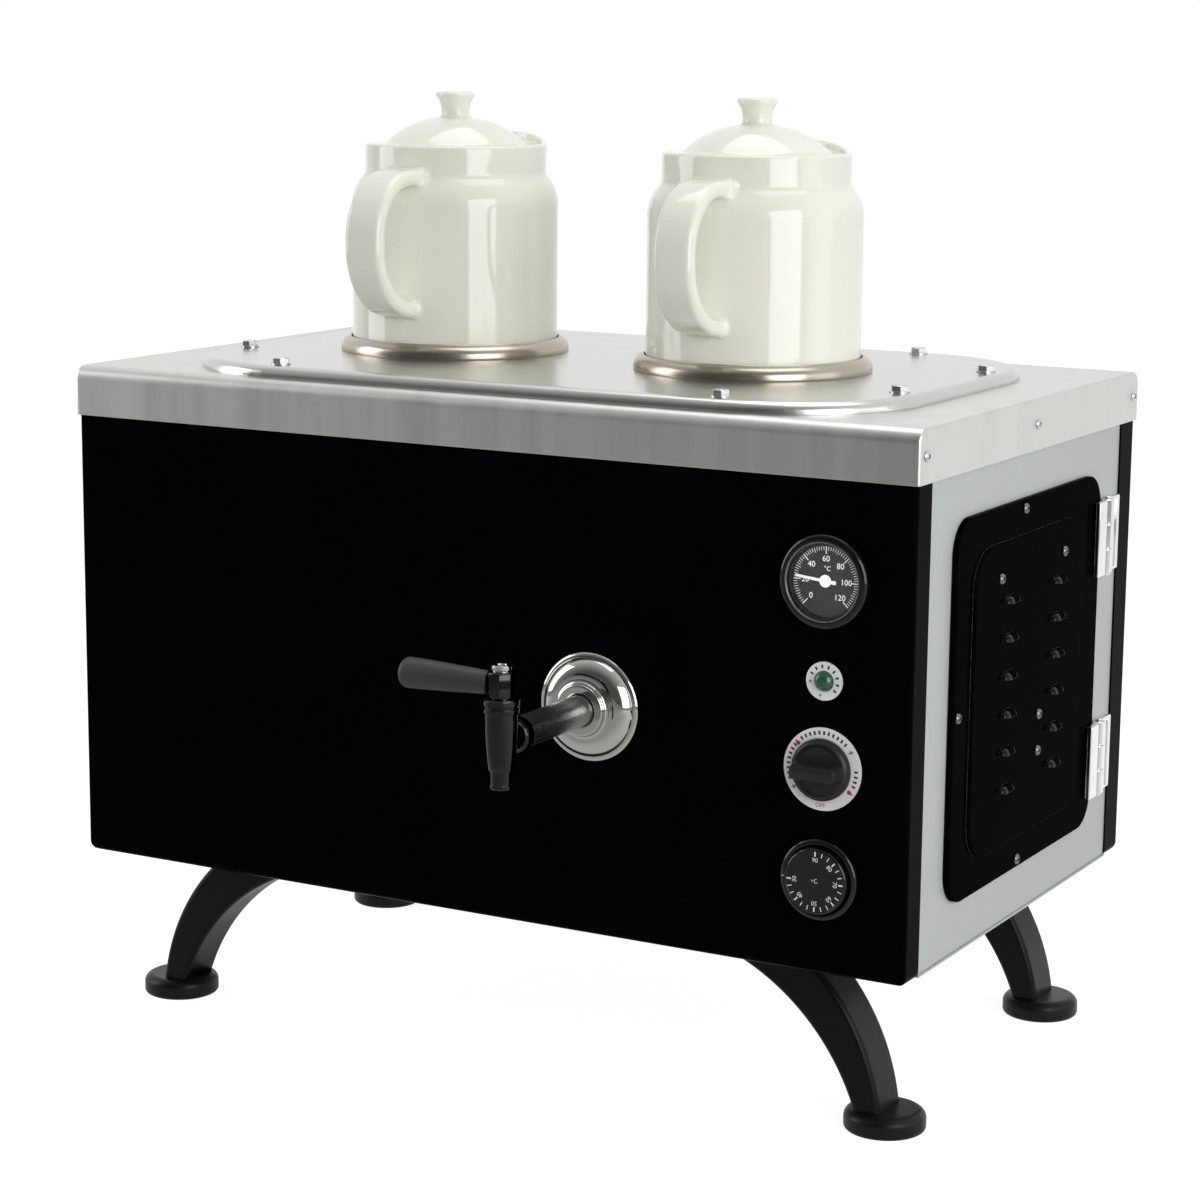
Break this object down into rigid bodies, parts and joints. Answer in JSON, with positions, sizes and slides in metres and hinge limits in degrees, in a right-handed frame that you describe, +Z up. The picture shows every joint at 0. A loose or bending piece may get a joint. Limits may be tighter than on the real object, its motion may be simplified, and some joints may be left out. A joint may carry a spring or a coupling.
{
  "type": "twin-pot tea maker",
  "caption": "Counter-top hot-water tea maker: black sheet-metal cabinet on curved legs, steel deck with lidded porcelain teapots in collars, lever tap, dial controls and a hinged side door.",
  "frame": {"origin": "middle of the overall box, on the floor under the feet", "axes": "+Z up, -Y towards the user (tap and controls), +X to the user's right (hinged door)"},
  "size_m": [0.6406, 0.5256, 0.6448],
  "materials": {
    "black_enamel": "gloss",
    "grey_enamel": "satin",
    "brushed_cover": "brushed",
    "satin_deck": "satin",
    "polished_steel": "polished",
    "zinc_fixings": "plated",
    "cast_black": "satin black paint",
    "black_rubber": "matte",
    "porcelain": "gloss glaze",
    "element_sheath": "drawn",
    "burner_iron": "raw",
    "copper_line": "drawn tube",
    "brass_fittings": "machined",
    "black_plastic": "matte",
    "gloss_black": "gloss",
    "white_plastic": "matte",
    "clear_glass": "clear",
    "green_lens": "translucent"
  },
  "bodies": {
    "cabinet": {"front_panel": "black_enamel", "rear_panel": "black_enamel", "base_plate": "black_enamel", "left_end_panel": "grey_enamel", "right_end_panel": "grey_enamel", "top_cover": "brushed_cover", "deck_panel": "satin_deck", "water_tank": "satin_deck", "pot_collar_left": "polished_steel", "pot_collar_right": "polished_steel", "tap_rose": "polished_steel", "tap_pipe": "polished_steel", "tap_barrel": "polished_steel", "tap_nozzle": "polished_steel", "hinge_frame_leaves": "polished_steel", "hinge_pins": "polished_steel", "thermometer_case": "polished_steel", "cover_screws": "zinc_fixings", "deck_bolts": "zinc_fixings", "leg_bolts": "zinc_fixings", "burner_stands": "zinc_fixings", "leg_front_right": "cast_black", "leg_front_left": "cast_black", "leg_rear_right": "cast_black", "leg_rear_left": "cast_black", "foot_pads": "black_rubber", "deck_gasket": "black_rubber", "heating_element": "element_sheath", "element_flange": "element_sheath", "gas_burner": "burner_iron", "gas_pipe": "copper_line", "thermometer_probe": "copper_line", "thermostat_probe": "copper_line", "gas_valve": "brass_fittings", "gas_inlet": "brass_fittings", "tap_back_nut": "brass_fittings", "cable_gland": "black_plastic", "selector_switch": "black_plastic", "thermostat_body": "black_plastic", "thermostat_bezel": "gloss_black", "thermometer_dial": "gloss_black", "pilot_ring": "white_plastic", "selector_plate": "white_plastic", "terminal_block": "white_plastic", "thermometer_glass": "clear_glass", "pilot_lamp": "green_lens"},
    "door": {"door_panel": "black_enamel", "door_screws": "zinc_fixings", "hinge_door_leaves": "polished_steel"},
    "tap_handle": {"tap_head": "polished_steel", "tap_cap": "polished_steel", "tap_grip": "black_plastic"},
    "selector": {"selector_knob": "black_plastic"},
    "thermostat": {"thermostat_dial": "black_plastic"},
    "needle": {"thermometer_needle": "white_plastic"},
    "pot_left": {"pot_left": "porcelain"},
    "pot_right": {"pot_right": "porcelain"},
    "lid_left": {"pot_lid_left": "porcelain"},
    "lid_right": {"pot_lid_right": "porcelain"}
  },
  "joints": [
    {"name": "door_swing", "type": "hinge", "parent": "cabinet", "child": "door", "pos_m": [0.31452, 0.17735, 0.2725], "axis": [0, 0, 1], "range_deg": [0, 150]},
    {"name": "tap_turn", "type": "hinge", "parent": "cabinet", "child": "tap_handle", "pos_m": [0.08922, -0.25165, 0.3], "axis": [0, 0, 1], "range_deg": [0, 90]},
    {"name": "selector_turn", "type": "hinge", "parent": "cabinet", "child": "selector", "pos_m": [0.25272, -0.14215, 0.245], "axis": [0, 1, 0], "range_deg": [-90, 180]},
    {"name": "thermostat_turn", "type": "hinge", "parent": "cabinet", "child": "thermostat", "pos_m": [0.25272, -0.14215, 0.1756], "axis": [0, 1, 0], "range_deg": [0, 270]},
    {"name": "needle_turn", "type": "hinge", "parent": "cabinet", "child": "needle", "pos_m": [0.25272, -0.14215, 0.362], "axis": [0, 1, 0], "range_deg": [-52, 218], "stiffness_Nm_per_rad": 0.001},
    {"name": "pot_left_lift", "type": "slide", "parent": "cabinet", "child": "pot_left", "axis": [0, 0, 1], "range_m": [0, 0.2]},
    {"name": "pot_right_lift", "type": "slide", "parent": "cabinet", "child": "pot_right", "axis": [0, 0, 1], "range_m": [0, 0.2]},
    {"name": "lid_left_lift", "type": "slide", "parent": "pot_left", "child": "lid_left", "axis": [0, 0, 1], "range_m": [0, 0.06]},
    {"name": "lid_right_lift", "type": "slide", "parent": "pot_right", "child": "lid_right", "axis": [0, 0, 1], "range_m": [0, 0.06]}
  ]
}
